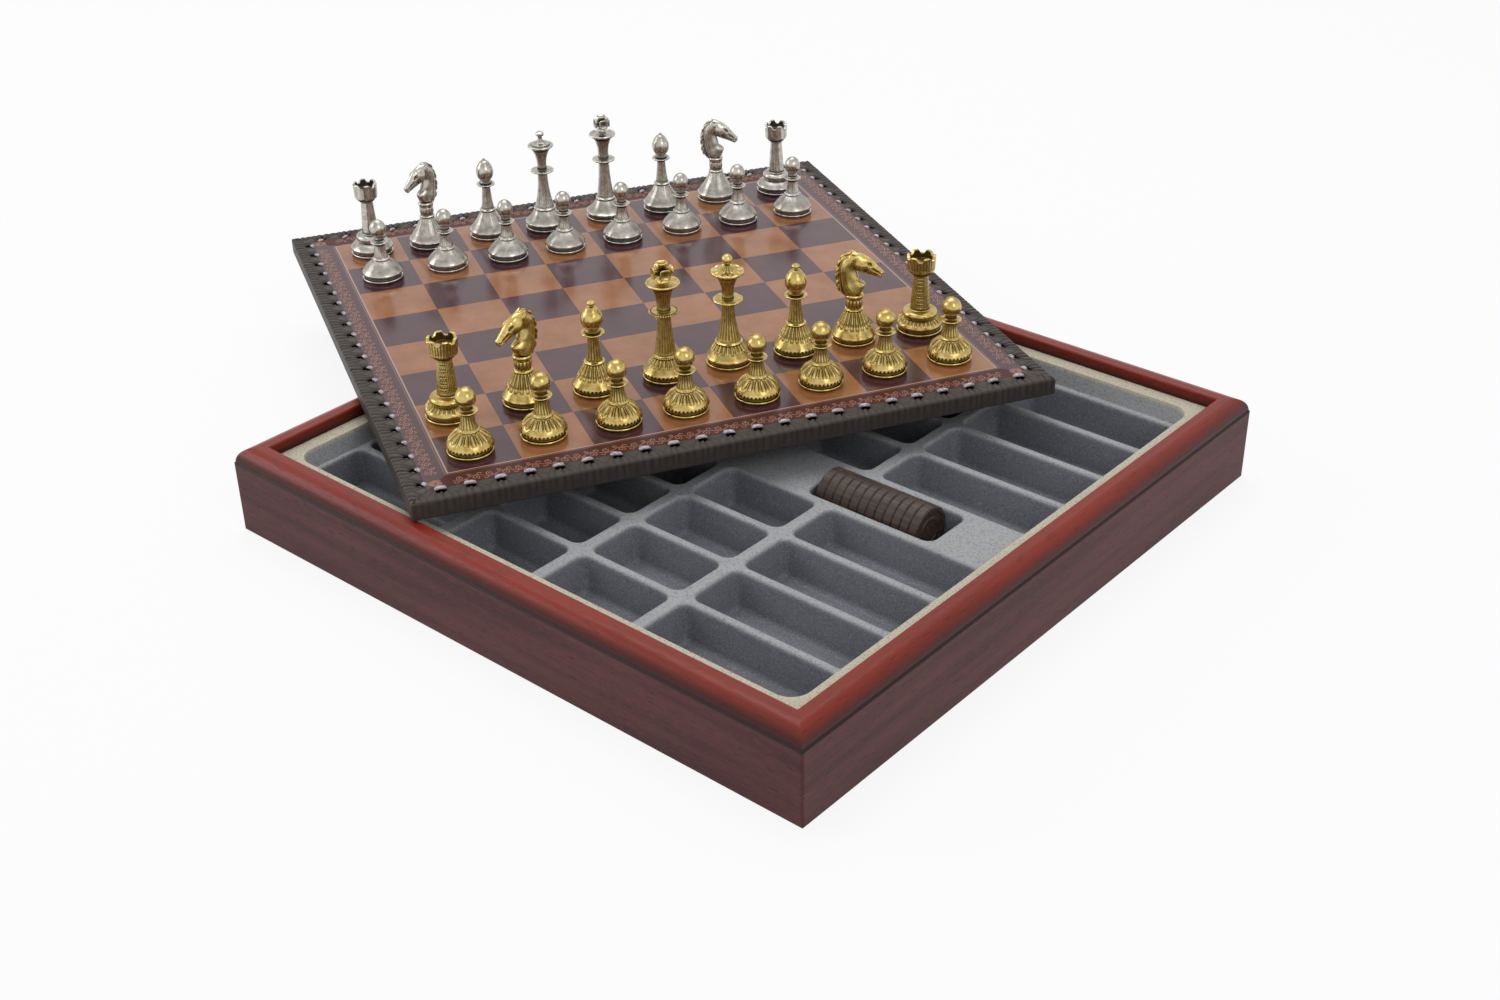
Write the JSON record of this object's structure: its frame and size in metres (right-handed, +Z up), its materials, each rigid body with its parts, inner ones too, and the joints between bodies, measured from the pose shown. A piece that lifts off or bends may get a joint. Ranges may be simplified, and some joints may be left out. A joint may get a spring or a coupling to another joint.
{
  "type": "chess box with storage tray and lift-off board",
  "caption": "Square wooden case with a moulded tray of pockets, a laced leather chessboard lying turned across its rim, and gold and silver metal men standing on it.",
  "frame": {"origin": "middle of the case's underside, on the surface that it stands on", "axes": "+Z up; +X and -Y square to the two outer faces of the case that the picture shows, -Y the left one"},
  "size_m": [0.5269, 0.4584, 0.1184],
  "materials": {
    "mahogany": "satin",
    "panel_ply": "matte",
    "flocked_sheet": "matte",
    "fibreboard": "matte",
    "backing_felt": "matte",
    "printed_leather": "satin",
    "edge_leather": "satin",
    "lace_cord": "satin",
    "antique_gold": "polished",
    "antique_silver": "polished",
    "dark_draught": "satin",
    "tan_draught": "satin"
  },
  "bodies": {
    "case": {"case_rail_front": "mahogany", "case_rail_right": "mahogany", "case_rail_back": "mahogany", "case_rail_left": "mahogany", "bottom_panel": "panel_ply", "flocked_tray": "flocked_sheet"},
    "board": {"board_core": "fibreboard", "board_backing": "backing_felt", "playing_leather": "printed_leather", "edge_leather_front": "edge_leather", "edge_leather_right": "edge_leather", "edge_leather_back": "edge_leather", "edge_leather_left": "edge_leather", "lace_stitches": "lace_cord"},
    "dark_draughts": {"dark_draughts": "dark_draught"},
    "tan_draughts": {"tan_draughts": "tan_draught"},
    "gold_rook_1": {"gold_rook_1": "antique_gold"},
    "gold_knight_1": {"gold_knight_1": "antique_gold"},
    "gold_bishop_1": {"gold_bishop_1": "antique_gold"},
    "gold_king": {"gold_king": "antique_gold"},
    "gold_queen": {"gold_queen": "antique_gold"},
    "gold_bishop_2": {"gold_bishop_2": "antique_gold"},
    "gold_knight_2": {"gold_knight_2": "antique_gold"},
    "gold_rook_2": {"gold_rook_2": "antique_gold"},
    "gold_pawn_1": {"gold_pawn_1": "antique_gold"},
    "gold_pawn_2": {"gold_pawn_2": "antique_gold"},
    "gold_pawn_3": {"gold_pawn_3": "antique_gold"},
    "gold_pawn_4": {"gold_pawn_4": "antique_gold"},
    "gold_pawn_5": {"gold_pawn_5": "antique_gold"},
    "gold_pawn_6": {"gold_pawn_6": "antique_gold"},
    "gold_pawn_7": {"gold_pawn_7": "antique_gold"},
    "gold_pawn_8": {"gold_pawn_8": "antique_gold"},
    "silver_rook_1": {"silver_rook_1": "antique_silver"},
    "silver_knight_1": {"silver_knight_1": "antique_silver"},
    "silver_bishop_1": {"silver_bishop_1": "antique_silver"},
    "silver_king": {"silver_king": "antique_silver"},
    "silver_queen": {"silver_queen": "antique_silver"},
    "silver_bishop_2": {"silver_bishop_2": "antique_silver"},
    "silver_knight_2": {"silver_knight_2": "antique_silver"},
    "silver_rook_2": {"silver_rook_2": "antique_silver"},
    "silver_pawn_1": {"silver_pawn_1": "antique_silver"},
    "silver_pawn_2": {"silver_pawn_2": "antique_silver"},
    "silver_pawn_3": {"silver_pawn_3": "antique_silver"},
    "silver_pawn_4": {"silver_pawn_4": "antique_silver"},
    "silver_pawn_5": {"silver_pawn_5": "antique_silver"},
    "silver_pawn_6": {"silver_pawn_6": "antique_silver"},
    "silver_pawn_7": {"silver_pawn_7": "antique_silver"},
    "silver_pawn_8": {"silver_pawn_8": "antique_silver"}
  },
  "joints": [
    {"name": "board_lift", "type": "slide", "parent": "case", "child": "board", "axis": [0, 0, 1], "range_m": [0, 0.15]},
    {"name": "dark_draughts_lift", "type": "slide", "parent": "case", "child": "dark_draughts", "axis": [0, 0, 1], "range_m": [0, 0.06]},
    {"name": "tan_draughts_lift", "type": "slide", "parent": "case", "child": "tan_draughts", "axis": [0, 0, 1], "range_m": [0, 0.007]},
    {"name": "gold_rook_1_lift", "type": "slide", "parent": "board", "child": "gold_rook_1", "axis": [0, 0, 1], "range_m": [0, 0.06]},
    {"name": "gold_knight_1_lift", "type": "slide", "parent": "board", "child": "gold_knight_1", "axis": [0, 0, 1], "range_m": [0, 0.06]},
    {"name": "gold_bishop_1_lift", "type": "slide", "parent": "board", "child": "gold_bishop_1", "axis": [0, 0, 1], "range_m": [0, 0.06]},
    {"name": "gold_king_lift", "type": "slide", "parent": "board", "child": "gold_king", "axis": [0, 0, 1], "range_m": [0, 0.06]},
    {"name": "gold_queen_lift", "type": "slide", "parent": "board", "child": "gold_queen", "axis": [0, 0, 1], "range_m": [0, 0.06]},
    {"name": "gold_bishop_2_lift", "type": "slide", "parent": "board", "child": "gold_bishop_2", "axis": [0, 0, 1], "range_m": [0, 0.06]},
    {"name": "gold_knight_2_lift", "type": "slide", "parent": "board", "child": "gold_knight_2", "axis": [0, 0, 1], "range_m": [0, 0.06]},
    {"name": "gold_rook_2_lift", "type": "slide", "parent": "board", "child": "gold_rook_2", "axis": [0, 0, 1], "range_m": [0, 0.06]},
    {"name": "gold_pawn_1_lift", "type": "slide", "parent": "board", "child": "gold_pawn_1", "axis": [0, 0, 1], "range_m": [0, 0.06]},
    {"name": "gold_pawn_2_lift", "type": "slide", "parent": "board", "child": "gold_pawn_2", "axis": [0, 0, 1], "range_m": [0, 0.06]},
    {"name": "gold_pawn_3_lift", "type": "slide", "parent": "board", "child": "gold_pawn_3", "axis": [0, 0, 1], "range_m": [0, 0.06]},
    {"name": "gold_pawn_4_lift", "type": "slide", "parent": "board", "child": "gold_pawn_4", "axis": [0, 0, 1], "range_m": [0, 0.06]},
    {"name": "gold_pawn_5_lift", "type": "slide", "parent": "board", "child": "gold_pawn_5", "axis": [0, 0, 1], "range_m": [0, 0.06]},
    {"name": "gold_pawn_6_lift", "type": "slide", "parent": "board", "child": "gold_pawn_6", "axis": [0, 0, 1], "range_m": [0, 0.06]},
    {"name": "gold_pawn_7_lift", "type": "slide", "parent": "board", "child": "gold_pawn_7", "axis": [0, 0, 1], "range_m": [0, 0.06]},
    {"name": "gold_pawn_8_lift", "type": "slide", "parent": "board", "child": "gold_pawn_8", "axis": [0, 0, 1], "range_m": [0, 0.06]},
    {"name": "silver_rook_1_lift", "type": "slide", "parent": "board", "child": "silver_rook_1", "axis": [0, 0, 1], "range_m": [0, 0.06]},
    {"name": "silver_knight_1_lift", "type": "slide", "parent": "board", "child": "silver_knight_1", "axis": [0, 0, 1], "range_m": [0, 0.06]},
    {"name": "silver_bishop_1_lift", "type": "slide", "parent": "board", "child": "silver_bishop_1", "axis": [0, 0, 1], "range_m": [0, 0.06]},
    {"name": "silver_king_lift", "type": "slide", "parent": "board", "child": "silver_king", "axis": [0, 0, 1], "range_m": [0, 0.06]},
    {"name": "silver_queen_lift", "type": "slide", "parent": "board", "child": "silver_queen", "axis": [0, 0, 1], "range_m": [0, 0.06]},
    {"name": "silver_bishop_2_lift", "type": "slide", "parent": "board", "child": "silver_bishop_2", "axis": [0, 0, 1], "range_m": [0, 0.06]},
    {"name": "silver_knight_2_lift", "type": "slide", "parent": "board", "child": "silver_knight_2", "axis": [0, 0, 1], "range_m": [0, 0.06]},
    {"name": "silver_rook_2_lift", "type": "slide", "parent": "board", "child": "silver_rook_2", "axis": [0, 0, 1], "range_m": [0, 0.06]},
    {"name": "silver_pawn_1_lift", "type": "slide", "parent": "board", "child": "silver_pawn_1", "axis": [0, 0, 1], "range_m": [0, 0.06]},
    {"name": "silver_pawn_2_lift", "type": "slide", "parent": "board", "child": "silver_pawn_2", "axis": [0, 0, 1], "range_m": [0, 0.06]},
    {"name": "silver_pawn_3_lift", "type": "slide", "parent": "board", "child": "silver_pawn_3", "axis": [0, 0, 1], "range_m": [0, 0.06]},
    {"name": "silver_pawn_4_lift", "type": "slide", "parent": "board", "child": "silver_pawn_4", "axis": [0, 0, 1], "range_m": [0, 0.06]},
    {"name": "silver_pawn_5_lift", "type": "slide", "parent": "board", "child": "silver_pawn_5", "axis": [0, 0, 1], "range_m": [0, 0.06]},
    {"name": "silver_pawn_6_lift", "type": "slide", "parent": "board", "child": "silver_pawn_6", "axis": [0, 0, 1], "range_m": [0, 0.06]},
    {"name": "silver_pawn_7_lift", "type": "slide", "parent": "board", "child": "silver_pawn_7", "axis": [0, 0, 1], "range_m": [0, 0.06]},
    {"name": "silver_pawn_8_lift", "type": "slide", "parent": "board", "child": "silver_pawn_8", "axis": [0, 0, 1], "range_m": [0, 0.06]}
  ]
}
